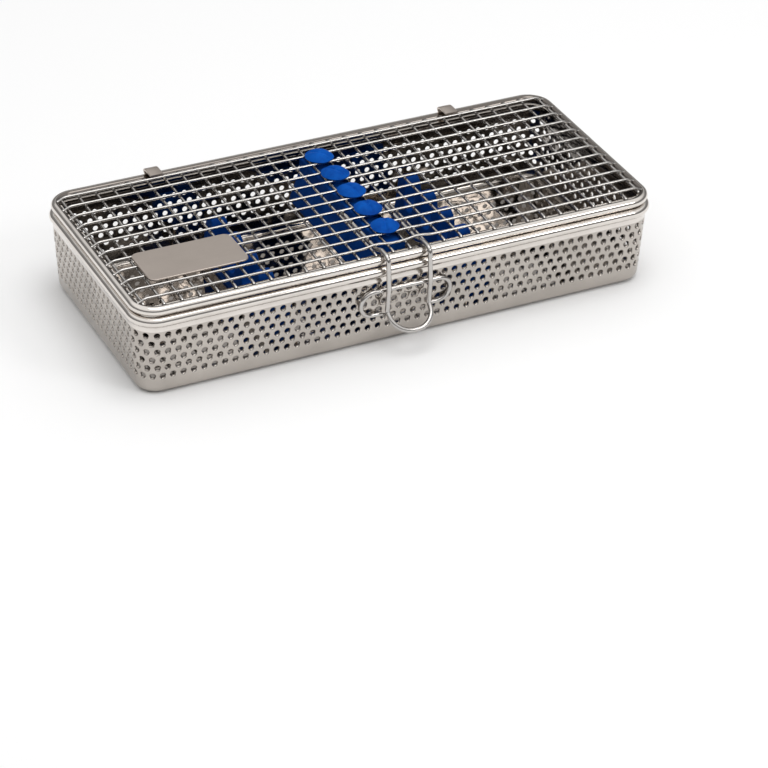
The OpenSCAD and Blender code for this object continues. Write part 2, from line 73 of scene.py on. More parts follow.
# %% Driving sizes
MM = 0.001
SHEET = 0.8 * MM
DRAFT = radians(3.5)
FOOT = 3 * MM
RIM = 1.7 * MM
RIM_BULGE = 1 * MM
RIM_LIP = 1.2 * MM
HOLE = 1 * MM
PITCH = 3.5 * MM
ROWS = 6
FIRST_DROP = 6.6 * MM
ROLL = 1.55 * MM
WINDOW_CORNER = 4 * MM
END_FLANGE = 2.65 * MM
SIDE_FLANGE = 4.25 * MM
WIRE = 0.5 * MM
LATCH = 0.8 * MM
CROSS_INSET = 2.9 * MM
LONG_INSET = 1.9 * MM

_, rim_high = (np.array(c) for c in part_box("tray_rim"))
HALF_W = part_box("tray_left_wall")[1][1]
CORNER = rim_high[1] - RIM_BULGE - HALF_W
HALF_L = rim_high[0] - RIM_BULGE - CORNER
TRAY_H = rim_high[2]
frame_low, frame_high = (np.array(c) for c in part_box("lid_frame"))
LID_U = frame_high[0] - HALF_L
print("corner axes at", HALF_L / MM, HALF_W / MM, "rim top", TRAY_H / MM, "lid", LID_U / MM)

# %% [markdown]
# ## Making meshes from arrays
# Every new piece is a set of grids: a surface that is a function of two parameters, worked
# out for all its points at once. One helper joins the grids into one mesh, merges the
# points that coincide, turns the faces outwards and shades all but the sharp edges smooth.


# %% Grid helpers
def grid_faces(rows, columns, close_rows=False, close_columns=False):
    """Quads of a rows by columns grid of points, numbered row by row.
    Quad (i, j) joins point (i, j) to its neighbours at i + 1 and j + 1, and a closed
    direction counts its last neighbour as number 0."""
    i = np.arange(rows if close_rows else rows - 1)
    j = np.arange(columns if close_columns else columns - 1)
    i, j = np.meshgrid(i, j, indexing="ij")
    i2, j2 = (i + 1) % rows, (j + 1) % columns
    corners = [i * columns + j, i * columns + j2, i2 * columns + j2, i2 * columns + j]
    return np.stack([c.ravel() for c in corners], axis=1)


def build_piece(name, surfaces, body, material, replaces=(), sharp=35, merge=1e-6):
    """One mesh piece from a list of (points, faces) surfaces.
    Faces may mix sizes: they are lists or integer arrays of indices into their points."""
    verts, faces, start = [], [], 0
    for points, quads in surfaces:
        points = np.asarray(points, float).reshape(-1, 3)
        verts.append(points)
        faces += [[int(k) + start for k in face] for face in quads]
        start += len(points)
    mesh = bpy.data.meshes.new(name)
    mesh.from_pydata(np.concatenate(verts), [], faces)
    work = bmesh.new()
    work.from_mesh(mesh)
    bmesh.ops.remove_doubles(work, verts=work.verts, dist=merge)
    bmesh.ops.dissolve_degenerate(work, edges=work.edges, dist=merge / 10)
    bmesh.ops.recalc_face_normals(work, faces=work.faces)
    work.to_mesh(mesh)
    work.free()
    mesh.polygons.foreach_set("use_smooth", np.ones(len(mesh.polygons), bool))
    mesh.set_sharp_from_angle(angle=radians(sharp))
    mesh.materials.append(material)
    piece = bpy.data.objects.new(name, mesh)
    bpy.context.scene.collection.objects.link(piece)
    if body:
        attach(piece, body)
    if replaces:
        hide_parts(*replaces)
    print(f"{name}: {len(mesh.vertices)} points, {len(mesh.polygons)} faces")
    return piece


def arc(centre, radius, start, end, steps=12):
    """Points on a circle in a section: centre + radius (cos a, sin a), a in degrees."""
    a = np.radians(np.linspace(start, end, steps + 1))
    return np.array(centre) + radius * np.stack([np.cos(a), np.sin(a)], axis=1)


def four_corners(steps, sweep):
    """The signs (sx, sy) of four corners in turn, and at each corner the normals
    (cos a, sin a) over sweep degrees from the corner's own 0, 90, 180 or 270."""
    a = np.linspace(0, sweep, steps + 1)
    a = np.radians(np.concatenate([a + 90 * k for k in range(4)]))
    signs = np.repeat([(1, 1), (-1, 1), (-1, -1), (1, -1)], steps + 1, axis=0)
    return signs, np.stack([np.cos(a), np.sin(a)], axis=1)


def capped_grid(rows, columns):
    """Faces of a tube of rows rings with columns points each, with a face over both ends."""
    faces = list(grid_faces(rows, columns, False, True))
    return faces + [list(range(columns))[::-1], [(rows - 1) * columns + k for k in range(columns)]]


# %% [markdown]
# ## Shader helpers
# Polished steel is never one colour: it has soft waves from the press, fine scratches from
# handling and a haze of wiping marks. Those effects are shader groups, made once and placed
# in each steel with its own strengths. They read Object coordinates, so they stay put.


# %% Node group helpers
def new_group(name, inputs, outputs):
    """An empty shader group with named sockets, as (tree, input node, output node)."""
    tree = bpy.data.node_groups.new(name, "ShaderNodeTree")
    for label, kind, value in inputs:
        socket = tree.interface.new_socket(label, in_out="INPUT", socket_type=kind)
        socket.default_value = value
    for label, kind in outputs:
        tree.interface.new_socket(label, in_out="OUTPUT", socket_type=kind)
    return tree, tree.nodes.new("NodeGroupInput"), tree.nodes.new("NodeGroupOutput")


def noise(tree, vector, scale, detail=2.0, roughness=0.5):
    """A noise texture on a vector socket; returns its factor socket."""
    node = tree.nodes.new("ShaderNodeTexNoise")
    node.inputs["Scale"].default_value = scale
    node.inputs["Detail"].default_value = detail
    node.inputs["Roughness"].default_value = roughness
    tree.links.new(vector, node.inputs["Vector"])
    return node.outputs["Fac"]


def stretch(tree, vector, factors):
    """The vector with each axis multiplied by a factor."""
    node = tree.nodes.new("ShaderNodeVectorMath")
    node.operation = "MULTIPLY"
    node.inputs[1].default_value = factors
    tree.links.new(vector, node.inputs[0])
    return node.outputs[0]


def remap(tree, value, low, high, to_low, to_high):
    """A value taken from one range to another, clamped."""
    node = tree.nodes.new("ShaderNodeMapRange")
    ends = {"From Min": low, "From Max": high, "To Min": to_low, "To Max": to_high}
    for label, number in ends.items():
        node.inputs[label].default_value = number
    tree.links.new(value, node.inputs["Value"])
    return node.outputs["Result"]


def maths(tree, operation, a, b):
    """One Math node on two values, each a socket or a number."""
    node = tree.nodes.new("ShaderNodeMath")
    node.operation = operation
    for socket, value in zip(node.inputs, (a, b)):
        if hasattr(value, "links"):
            tree.links.new(value, socket)
        else:
            socket.default_value = value
    return node.outputs[0]


# %% The press waves, scratches and haze of handled steel
def make_wave_group():
    """Height of the soft waves that pressing leaves in sheet steel: broad noise."""
    tree, source, sink = new_group("press_waves", [("Vector", "NodeSocketVector", (0, 0, 0)),
                                                   ("Size", "NodeSocketFloat", 60.0)],
                                   [("Height", "NodeSocketFloat")])
    broad = tree.nodes.new("ShaderNodeTexNoise")
    broad.inputs["Detail"].default_value = 1.0
    tree.links.new(source.outputs["Vector"], broad.inputs["Vector"])
    tree.links.new(source.outputs["Size"], broad.inputs["Scale"])
    tree.links.new(broad.outputs["Fac"], sink.inputs["Height"])
    return tree


def make_scratch_group():
    """Fine scratches in two directions: noise drawn out long on one axis, kept at its peaks."""
    tree, source, sink = new_group("fine_scratches", [("Vector", "NodeSocketVector", (0, 0, 0))],
                                   [("Height", "NodeSocketFloat")])
    vector = source.outputs["Vector"]
    one = noise(tree, stretch(tree, vector, (150, 4200, 2600)), 1.0, 2.0)
    two = noise(tree, stretch(tree, vector, (3600, 260, 900)), 1.0, 2.0)
    one = remap(tree, one, 0.62, 0.72, 0, 1)
    two = remap(tree, two, 0.64, 0.74, 0, 1)
    tree.links.new(maths(tree, "MAXIMUM", one, two), sink.inputs["Height"])
    return tree


def make_haze_group():
    """Wiping marks: a patchy value from 0 to 1 that roughens and dims the polish."""
    tree, source, sink = new_group("wiping_haze", [("Vector", "NodeSocketVector", (0, 0, 0))],
                                   [("Mask", "NodeSocketFloat")])
    vector = source.outputs["Vector"]
    patches = noise(tree, vector, 45.0, 4.0, 0.6)
    streaks = noise(tree, stretch(tree, vector, (40, 240, 160)), 1.0, 3.0)
    both = maths(tree, "MULTIPLY", remap(tree, patches, 0.35, 0.7, 0, 1),
                 remap(tree, streaks, 0.3, 0.75, 0.3, 1))
    tree.links.new(both, sink.inputs["Mask"])
    return tree


def make_inward_group():
    """1 on the faces that look into the tray and 0 on the others: the sign of the level
    part of the place times the normal, which is negative where a wall faces inwards."""
    tree, source, sink = new_group("inward_faces", [("Vector", "NodeSocketVector", (0, 0, 0))],
                                   [("Mask", "NodeSocketFloat")])
    normal = tree.nodes.new("ShaderNodeNewGeometry").outputs["Normal"]
    dot = tree.nodes.new("ShaderNodeVectorMath")
    dot.operation = "DOT_PRODUCT"
    tree.links.new(stretch(tree, source.outputs["Vector"], (1, 1, 0)), dot.inputs[0])
    tree.links.new(normal, dot.inputs[1])
    tree.links.new(remap(tree, dot.outputs["Value"], -0.006, 0.0, 1, 0), sink.inputs["Mask"])
    return tree


WAVES, SCRATCHES, HAZE = make_wave_group(), make_scratch_group(), make_haze_group()
INWARD = make_inward_group()


# %% Steel and silicone
def place_group(tree, group, vector, **values):
    """A group node fed with a vector, with its other inputs set."""
    node = tree.nodes.new("ShaderNodeGroup")
    node.node_tree = group
    tree.links.new(vector, node.inputs["Vector"])
    for label, value in values.items():
        node.inputs[label].default_value = value
    return node.outputs[0]


def bump(tree, height, strength, distance, normal=None):
    """A Bump node; returns its normal."""
    node = tree.nodes.new("ShaderNodeBump")
    node.inputs["Strength"].default_value = strength
    node.inputs["Distance"].default_value = distance
    tree.links.new(height, node.inputs["Height"])
    if normal is not None:
        tree.links.new(normal, node.inputs["Normal"])
    return node.outputs["Normal"]


def steel(name, clean, dull, rough, rough_dull, wave_size, wave_depth, scratch_depth, inner=None):
    """Polished steel: clean and dull are its colours, rough and rough_dull its roughness
    where it is clean and where it is hazed. inner is a darker colour for the faces inside
    the tray: painted shade."""
    material = bpy.data.materials.new(name)
    material.use_nodes = True
    tree = material.node_tree
    shader = tree.nodes["Principled BSDF"]
    shader.inputs["Metallic"].default_value = 1.0
    where = tree.nodes.new("ShaderNodeTexCoord").outputs["Object"]
    haze = place_group(tree, HAZE, where)
    ramp = tree.nodes.new("ShaderNodeMix")
    ramp.data_type = "RGBA"
    ramp.inputs["A"].default_value = (*clean, 1)
    ramp.inputs["B"].default_value = (*dull, 1)
    tree.links.new(haze, ramp.inputs["Factor"])
    colour = ramp.outputs["Result"]
    # Painted shade: the faces that look into the tray take the darker inner colour.
    if inner:
        inside = tree.nodes.new("ShaderNodeMix")
        inside.data_type = "RGBA"
        tree.links.new(place_group(tree, INWARD, where), inside.inputs["Factor"])
        tree.links.new(colour, inside.inputs["A"])
        inside.inputs["B"].default_value = (*inner, 1)
        colour = inside.outputs["Result"]
    tree.links.new(colour, shader.inputs["Base Color"])
    tree.links.new(remap(tree, haze, 0, 1, rough, rough_dull), shader.inputs["Roughness"])
    waves = bump(tree, place_group(tree, WAVES, where, Size=wave_size), 1.0, wave_depth)
    fine = bump(tree, place_group(tree, SCRATCHES, where), 1.0, scratch_depth, waves)
    tree.links.new(fine, shader.inputs["Normal"])
    return material


def silicone(name, colour, shade, rough):
    """Moulded silicone: matt, a little mottled, with a fine moulded grain."""
    material = bpy.data.materials.new(name)
    material.use_nodes = True
    tree = material.node_tree
    shader = tree.nodes["Principled BSDF"]
    shader.inputs["Specular IOR Level"].default_value = 0.06
    where = tree.nodes.new("ShaderNodeTexCoord").outputs["Object"]
    mottle = noise(tree, where, 160.0, 4.0, 0.6)
    ramp = tree.nodes.new("ShaderNodeMix")
    ramp.data_type = "RGBA"
    ramp.inputs["A"].default_value = (*shade, 1)
    ramp.inputs["B"].default_value = (*colour, 1)
    tree.links.new(remap(tree, mottle, 0.3, 0.65, 0, 1), ramp.inputs["Factor"])
    tree.links.new(ramp.outputs["Result"], shader.inputs["Base Color"])
    tree.links.new(remap(tree, mottle, 0.2, 0.8, rough + 0.1, rough - 0.1),
                   shader.inputs["Roughness"])
    grain = noise(tree, where, 5200.0, 2.0)
    tree.links.new(bump(tree, grain, 0.35, 0.00004), shader.inputs["Normal"])
    return material


# The last colour of sheet_steel and rim_steel is painted shade on the faces that look into the
# tray.
SHEET_STEEL = steel("sheet_steel", (0.54, 0.50, 0.46), (0.38, 0.35, 0.32), 0.07, 0.20,
                    110.0, 0.0008, 0.000004, (0.38, 0.35, 0.32))
RIM_STEEL = steel("rim_steel", (0.78, 0.735, 0.69), (0.62, 0.58, 0.54), 0.08, 0.22,
                  50.0, 0.0004, 0.0000015, (0.17, 0.152, 0.138))
# The tray floor's steel is darker than the walls': painted shade of the floor closed in under the
# lid.
SHADED_FLOOR_STEEL = steel("shaded_floor_steel", (0.36, 0.33, 0.305), (0.27, 0.25, 0.23), 0.01, 0.03,
                    30.0, 0.00002, 0.0000005)
WIRE_STEEL = steel("wire_steel", (0.56, 0.54, 0.52), (0.42, 0.40, 0.38), 0.12, 0.25,
                   120.0, 0.0001, 0.000004)
LABEL_STEEL = steel("label_steel", (0.58, 0.51, 0.455), (0.50, 0.44, 0.39), 0.34, 0.45,
                    60.0, 0.0002, 0.000008)
# The racks and the hold-down take a darker blue than the knobs, on the same silicone: painted shade
# under the mesh.
SHADED_BLUE_SILICONE = silicone("shaded_blue_silicone", (0.001, 0.052, 0.27), (0.001, 0.034, 0.19), 0.6)
KNOB_SILICONE = silicone("knob_silicone", (0.001, 0.095, 0.46), (0.001, 0.045, 0.28), 0.6)
print("materials:", len(bpy.data.materials))

# %% [markdown]
# ## The way round the tray
# All the sheet pieces follow one path: a rectangle of corner axes, with every section
# carried round it at some distance u from the axes. A point is base + u times the outward
# normal. Straight stretches need no points of their own, and each corner takes a fan.


# %% The path of sections
FAN_STEPS = 20


def corner_fan():
    """Bases and outward normals at the stations round the tray, four fans of a quarter turn.
    Base = (sx HALF_L, sy HALF_W) and normal = (cos a, sin a), for a from 0 to 360 degrees."""
    signs, normal = four_corners(FAN_STEPS, 90)
    return signs * (HALF_L, HALF_W), normal


def sweep_section(section):
    """A closed section of (u, z) points carried round the corner axes."""
    base, normal = corner_fan()
    section = np.asarray(section)
    flat = base[:, None, :] + section[None, :, :1] * normal[:, None, :]
    z = np.broadcast_to(section[None, :, 1:], (len(base), len(section), 1))
    return np.concatenate([flat, z], axis=2), grid_faces(len(base), len(section), True, True)


# The wall's slope, from the crease under the rim down to the bend at the floor
RIM_Z = TRAY_H - RIM
RIM_U = CORNER + RIM_BULGE - RIM
CREASE_Z = RIM_Z - sqrt(RIM * RIM - (RIM - RIM_BULGE) ** 2)
BASE_Z = FOOT * (1 - sin(DRAFT))


def wall_u(z):
    """Distance of the wall's outer face from the corner axes: it falls with the draft."""
    return CORNER - (CREASE_Z - z) * tan(DRAFT)


ROW_STEP = PITCH * sin(pi / 3)
ROW_Z = TRAY_H - FIRST_DROP - np.arange(ROWS) * ROW_STEP * cos(DRAFT)
BAND_TOP = ROW_Z[0] + ROW_STEP / 2 * cos(DRAFT)
BAND_FOOT = ROW_Z[-1] - ROW_STEP / 2 * cos(DRAFT)
print("rows at", np.round(ROW_Z / MM, 2), "band", round(BAND_FOOT / MM, 2), round(BAND_TOP / MM, 2))

# %% [markdown]
# ## The perforated wall
# The wall is one strip of steel with six staggered rows of holes that run on round the
# corners. Each hole is a tile: sixteen points on the tile's edge, rings that dip into the
# hole over its polished lip, and the same behind. Tiles share their edge points, so the
# merged strip is one skin. The tile's place is a hole number round the tray and a height.


# %% Hole numbers to places
LAST_LONG = np.floor(HALF_L / PITCH)
LAST_END = np.floor(HALF_W / PITCH)
RUN_FLAT = (HALF_L - LAST_LONG * PITCH) + (HALF_W - LAST_END * PITCH)
CORNER_STEPS = round((RUN_FLAT + wall_u(ROW_Z[0]) * pi / 2) / PITCH)
QUARTER = LAST_LONG + CORNER_STEPS + LAST_END
print("holes in a row:", int(4 * QUARTER))


def tile_pitch(number, u):
    """Length of one hole number along the wall: the pitch on the straights, and an even
    share of the run between the last straight holes round a corner."""
    q = QUARTER - np.abs(QUARTER - np.mod(number, 2 * QUARTER))
    in_turn = (q > LAST_LONG) & (q < LAST_LONG + CORNER_STEPS)
    return np.where(in_turn, (RUN_FLAT + u * pi / 2) / CORNER_STEPS, PITCH)


def wall_point(number, z, depth):
    """The point on the wall at a hole number and a height, sunk by depth into the sheet.
    Number 0 is the middle of the back wall and numbers rise clockwise, seen from above."""
    number = np.mod(number, 4 * QUARTER)
    q = QUARTER - np.abs(QUARTER - np.mod(number, 2 * QUARTER))
    u = wall_u(z)
    turn = u * pi / 2
    flat_long = HALF_L - LAST_LONG * PITCH
    s = (q - LAST_LONG) / CORNER_STEPS * (RUN_FLAT + turn)
    angle = np.clip((s - flat_long) / u, 0, pi / 2)
    past = np.maximum(s - flat_long - turn, 0)
    x = np.where(q <= LAST_LONG, q * PITCH, np.minimum(LAST_LONG * PITCH + s, HALF_L))
    y = np.where(q >= LAST_LONG + CORNER_STEPS, (QUARTER - q) * PITCH, HALF_W - past)
    normal_x, normal_y = np.sin(angle), np.cos(angle)
    side_x = np.where(number <= 2 * QUARTER, 1, -1)
    side_y = np.where((number <= QUARTER) | (number >= 3 * QUARTER), 1, -1)
    out = u - depth * cos(DRAFT)
    return np.stack([side_x * (x + out * normal_x), side_y * (y + out * normal_y),
                     z + depth * sin(DRAFT)], axis=-1)


# %% The tiles
# Rings of a tile as (radius, depth): edge, three rings down the dished lip, throat, back lip
HOLE_RINGS = ((None, 0), (HOLE * 1.38, 0), (HOLE * 1.17, 0.06 * MM), (HOLE * 1.04, 0.18 * MM),
              (HOLE * 0.93, 0.36 * MM), (HOLE * 0.86, SHEET - 0.1 * MM), (HOLE * 0.90, SHEET),
              (None, SHEET))


def perforated_band():
    """Rings of every tile, from its edge in front through the hole to its edge behind.
    The tile's edge is the square of half a pitch, met in quarter steps."""
    angle = np.radians(np.arange(16) * 22.5)
    round_edge = np.stack([np.cos(angle), np.sin(angle)], axis=1)
    square = round_edge / np.abs(round_edge).max(axis=1, keepdims=True) * 0.5
    square = np.round(square * 4) / 4
    rows, numbers = np.meshgrid(np.arange(ROWS), np.arange(int(4 * QUARTER)), indexing="ij")
    centre = (numbers + 0.5 * (rows % 2)).reshape(-1, 1)
    height = ROW_Z[rows].reshape(-1, 1)
    pitch = tile_pitch(centre, wall_u(height))
    rings = []
    for radius, depth in HOLE_RINGS:
        if radius is None:
            number = centre + square[:, 0]
            z = height + square[:, 1] * ROW_STEP * cos(DRAFT)
        else:
            number = centre + radius * round_edge[:, 0] / pitch
            z = height + radius * round_edge[:, 1] * cos(DRAFT)
        rings.append(wall_point(number, z, depth))
    points = np.stack(rings, axis=1)
    tile = grid_faces(len(rings), 16, False, True)
    faces = (np.arange(len(points))[:, None, None] * len(rings) * 16 + tile[None]).reshape(-1, 4)
    return points, faces


def band_edge(z, row):
    """The strip that closes the sheet's edge along the top or the foot of the band."""
    number = np.arange(int(4 * QUARTER) * 4) / 4 + 0.5 * (row % 2)
    level = z + 0 * number
    strip = np.stack([wall_point(number, level, 0), wall_point(number, level, SHEET)])
    return strip, grid_faces(2, len(number), False, True)


build_piece("perforated_wall",
            [perforated_band(), band_edge(BAND_TOP, 0), band_edge(BAND_FOOT, ROWS - 1)],
            "base", SHEET_STEEL,
            ["tray_front_wall", "tray_back_wall", "tray_left_wall", "tray_right_wall",
             "tray_corners"], sharp=60)

# %% [markdown]
# ## The rolled rim and the foot bend
# Above the band the sheet runs up to a crease, swells out into a bead and turns in as a flat
# lip. Below it the sheet bends into the floor. Both are closed sections swept round the
# corner axes, which gives true, even highlights along the roll.


# %% Rim and foot
def rim_section():
    """The sheet from the band up, over the bead to the lip, and back on the inside."""
    crease = -90 + np.degrees(asin((RIM - RIM_BULGE) / RIM))
    centre = (RIM_U, RIM_Z)
    inside = wall_u(BAND_TOP) - SHEET * cos(DRAFT)
    below = CREASE_Z - 0.3 * MM
    outer = np.concatenate([[(wall_u(BAND_TOP), BAND_TOP), (wall_u(below), below)],
                            arc(centre, RIM, crease + 6, 90, 18),
                            [(RIM_U - RIM_LIP, TRAY_H)]])
    inner = np.concatenate([[(RIM_U - RIM_LIP, TRAY_H - SHEET)],
                            arc(centre, RIM - SHEET, 90, -90, 12),
                            [(CORNER - SHEET, CREASE_Z), (inside, BAND_TOP + SHEET * sin(DRAFT))]])
    return np.concatenate([outer, inner])


def foot_section():
    """The bend from the floor into the wall, up to the band, and back on the inside."""
    foot_u = wall_u(BASE_Z) - FOOT * cos(DRAFT)
    lean = np.degrees(DRAFT)
    outer = np.concatenate([arc((foot_u, FOOT), FOOT, -90, -lean, 10),
                            [(wall_u(BAND_FOOT), BAND_FOOT)]])
    top_inside = (wall_u(BAND_FOOT) - SHEET * cos(DRAFT), BAND_FOOT + SHEET * sin(DRAFT))
    inner = np.concatenate([[top_inside], arc((foot_u, FOOT), FOOT - SHEET, -lean, -90, 8)])
    return np.concatenate([outer, inner])


build_piece("rolled_rim", [sweep_section(rim_section())], "base",
            RIM_STEEL, ["tray_rim"], sharp=50)
build_piece("foot_bend", [sweep_section(foot_section())], "base",
            SHEET_STEEL, ["tray_foot_bend"], sharp=50)

# %% [markdown]
# ## The lid frame
# The frame is a flat flange round the window with its outer edge rolled down over itself.
# The window has its own, tighter corners, so the innermost points of each section follow the
# window and the others follow the corner axes.


# %% Frame with its window
def lid_frame_surface():
    """The roll and flange swept round the corner axes, with the window's edge as a second
    path: its point is the window corner's centre plus its radius times the normal."""
    roll_u, roll_z = LID_U - ROLL, frame_low[2] + ROLL
    top = roll_z + SHEET
    over = 180 - np.degrees(asin(SHEET / ROLL))
    under = ROLL - SHEET
    outer = np.concatenate([arc((roll_u, roll_z), ROLL, over, -90, 22),
                            arc((roll_u, roll_z), under, -90, 160, 14)])
    flange_u = roll_u - ROLL - 0.15 * MM
    section = np.concatenate([[(flange_u, top + 0.02 * MM)], outer, [(flange_u, roll_z)]])
    swept, _ = sweep_section(section)
    base, normal = corner_fan()
    half = np.array([HALF_L + LID_U - END_FLANGE, HALF_W + LID_U - SIDE_FLANGE])
    edge = np.sign(base) * (half - WINDOW_CORNER) + WINDOW_CORNER * normal
    low = np.concatenate([edge, np.full((len(edge), 1), roll_z)], axis=1)[:, None, :]
    high = np.concatenate([edge, np.full((len(edge), 1), top)], axis=1)[:, None, :]
    points = np.concatenate([high, swept, low], axis=1)
    return points, grid_faces(len(base), points.shape[1], True, True)


# The frame's faces that look into the tray take rim_steel's dark inner colour, painted shade.
build_piece("lid_rolled_frame", [lid_frame_surface()], "lid",
            RIM_STEEL, ["lid_frame"], sharp=50)

# %% [markdown]
# ## Wires
# Mesh wires, the latch and the catch are round bars, some bent. A tube is a ring of points
# carried along a path: the ring's two axes stay square to the path, and each ring can have
# its own width and height, which squashes a wire where it is welded down.


# %% Tubes along paths
def tube(path, radii, sides=12):
    """Rings about a path: point + cos a times width times side + sin a times height times
    lift, closed with a face at each end. radii holds (width, height) for each point."""
    path = np.asarray(path, float)
    along = np.gradient(path, axis=0)
    along /= np.linalg.norm(along, axis=1, keepdims=True)
    side = np.cross(along, (0, 0, 1))
    side /= np.linalg.norm(side, axis=1, keepdims=True)
    lift = np.cross(side, along)
    a = np.arange(sides) * 2 * pi / sides
    rings = (path[:, None] + radii[:, None, :1] * np.cos(a)[None, :, None] * side[:, None]
             + radii[:, None, 1:] * np.sin(a)[None, :, None] * lift[:, None])
    return rings, capped_grid(len(path), sides)


def twistless_tube(path, radius, sides, first):
    """A tube whose ring axis is carried from point to point: each ring keeps the last one's
    axis less its share along the path, so it never twists or flips."""
    path = np.asarray(path, float)
    along = np.gradient(path, axis=0)
    along /= np.linalg.norm(along, axis=1, keepdims=True)
    axis, axes = np.asarray(first, float), []
    for t in along:
        axis = axis - np.dot(axis, t) * t
        axis /= np.linalg.norm(axis)
        axes.append(axis)
    axes = np.array(axes)
    other = np.cross(along, axes)
    a = np.arange(sides) * 2 * pi / sides
    rings = path[:, None] + radius * (np.cos(a)[None, :, None] * axes[:, None]
                                      + np.sin(a)[None, :, None] * other[:, None])
    return rings, capped_grid(len(path), sides)


def rounded(corners, radii, steps):
    """A path through corners with each inner one rounded: the arc is turned from one leg's
    normal to the other's about the centre that touches both legs."""
    corners = [np.asarray(c, float) for c in corners]
    path = [corners[0]]
    for a, b, c, r in zip(corners, corners[1:], corners[2:], radii):
        u, v = (a - b) / np.linalg.norm(a - b), (c - b) / np.linalg.norm(c - b)
        half = np.arccos(np.dot(u, v)) / 2
        centre = b + (u + v) / np.linalg.norm(u + v) * r / sin(half)
        p, q = b + u * r / tan(half) - centre, b + v * r / tan(half) - centre
        turn = pi - 2 * half
        for s in np.linspace(0, 1, steps + 1):
            path.append(centre + (sin((1 - s) * turn) * p + sin(s * turn) * q) / sin(turn))
    path.append(corners[-1])
    return np.array(path)


# %% Cross wires with their weld feet
cross_low, cross_high = (np.array(c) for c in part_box("lid_cross_wires"))
long_low, long_high = (np.array(c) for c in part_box("lid_long_wires"))
CROSS_N, LONG_N = 30, 12
MESH = 0.9 * WIRE  # the mesh is drawn a little finer than its solids
CROSS_X = np.linspace(cross_low[0] + WIRE, cross_high[0] - WIRE, CROSS_N)
LONG_Y = np.linspace(long_low[1] + WIRE, long_high[1] - WIRE, LONG_N)
CROSS_Z = (cross_low[2] + cross_high[2]) / 2
LONG_Z = long_high[2] - WIRE


def wire_half(half, other_half, reach, across):
    """Half the length of a mesh wire: half plus the part of the corner circle of radius
    reach that the wire crosses, sqrt(reach^2 - d^2), d = how far it lies past the axis."""
    return half + sqrt(reach ** 2 - max(abs(across) - other_half, 0) ** 2)


def cross_wire(x):
    """A straight wire along Y. Its last 2 mm flatten onto the flange and widen a little:
    half lists (place, width, height) from the middle outwards, as shares."""
    half = np.array([(0.5, 1, 1), (0.95, 1, 1), (0.965, 1, 0.97), (0.98, 1.04, 0.9),
                     (0.9925, 1.06, 0.75), (1, 1, 0.55)])
    place, width, height = np.concatenate([half[::-1] * (-1, 1, 1), [(0, 1, 1)], half]).T
    y = place * wire_half(HALF_W, HALF_L, LID_U - CROSS_INSET, x)
    width, height = width * MESH, height * MESH
    z = CROSS_Z - WIRE + height
    path = np.stack([x + 0 * y, y, z], axis=1)
    return tube(path, np.stack([width, height], axis=1))


build_piece("mesh_cross_wires", [cross_wire(x) for x in CROSS_X], "lid",
            WIRE_STEEL, ["lid_cross_wires"], sharp=50)


# %% Long wires that ride over the latch
TURN_RUN = 3.0 * MM
BOW_FROM, BOW_GROWS, BOW_LIFT, BOW_SPREAD = 25 * MM, 9.1 * MM, 0.75 * MM, 3.2 * MM
LEG_PLACE = 7.25 * MM


def long_wire(y):
    """A wire along X whose ends turn down in an S, 3 t^2 - 2 t^3, onto the flange. Over the
    two latch legs the front wires bow up, by a bell curve about each leg."""
    end = wire_half(HALF_L, HALF_W, LID_U - LONG_INSET, y)
    tip = np.array([3.2, 2.2, 1.5, 0.9, 0.4, 0]) * MM
    x = np.concatenate([tip[::-1] - end, np.linspace(-0.931, 0.931, 77) * end, end - tip])
    turned = np.clip((np.abs(x) - end + TURN_RUN) / TURN_RUN, 0, 1)
    drop = (LONG_Z - CROSS_Z) * turned * turned * (3 - 2 * turned)
    front = np.clip((-y - BOW_FROM) / BOW_GROWS, 0, 1)
    near_leg = np.exp(-((np.abs(x) - LEG_PLACE) / BOW_SPREAD) ** 2)
    z = LONG_Z - drop + BOW_LIFT * front * near_leg
    radii = np.stack([MESH * (1 + 0.15 * turned), MESH - 0.3 * WIRE * turned], axis=1)
    return tube(np.stack([x, y + 0 * x, z], axis=1), radii)


build_piece("mesh_long_wires", [long_wire(y) for y in LONG_Y], "lid",
            WIRE_STEEL, ["lid_long_wires"], sharp=50)

# %% [markdown]
# ## Latch and catch
# One spring wire makes the latch: its two legs are welded under the mesh, pass over the
# frame and hang in front as a loop with a kink that snaps under the catch.

# %% The latch wire
_, arms_high = (np.array(c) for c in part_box("latch_arms"))
_, loop_high = (np.array(c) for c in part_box("latch_loop"))
LEG_X = loop_high[0] - LATCH
ARM_Z = CROSS_Z - 0.3 * MM
OVER_Z = loop_high[2] - LATCH
spring = next(j for j in frame["joints"] if j["name"] == "latch_spring")
SPLIT_Y = spring["pos_m"][1]
WELD_Y = -33.6 * MM
CATCH_Z = 20.8 * MM
LEG_LEAN = 0.08


def latch_path():
    """One leg from its welded end over the frame and down to the finger loop, then back.
    bends holds the radius at each corner that the leg turns, and last at the loop's."""
    leg_y = -(HALF_W + LID_U + 1.9 * MM)
    beside = leg_y - (OVER_Z - CATCH_Z) * LEG_LEAN
    kink_y, kink_z = beside + 0.8 * MM, 13.6 * MM
    tip_y, tip_z = kink_y - 6 * MM, kink_z - 5 * MM
    down = [(arms_high[1], ARM_Z), (WELD_Y, ARM_Z + 0.1 * MM), (SPLIT_Y + 1.5 * MM, OVER_Z),
            (leg_y, OVER_Z), (beside, CATCH_Z + 1 * MM), (kink_y, kink_z), (tip_y, tip_z)]
    left = [(-LEG_X, y, z) for y, z in down]
    right = [(LEG_X, y, z) for y, z in down[::-1]]
    bends = [5 * MM, 1.2 * MM, 2.2 * MM, 6 * MM, 1.2 * MM, LEG_X - 0.7 * MM]
    return rounded(left + right, bends + bends[::-1], 10)


latch = build_piece("latch_wire", [twistless_tube(latch_path(), LATCH, 16, (1, 0, 0))], None,
                    WIRE_STEEL, ["latch_arms", "latch_loop"], sharp=50)
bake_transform(latch)

# %% The catch on the front wall
catch_low, catch_high = (np.array(c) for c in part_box("catch_wire"))
CATCH = 0.75 * MM


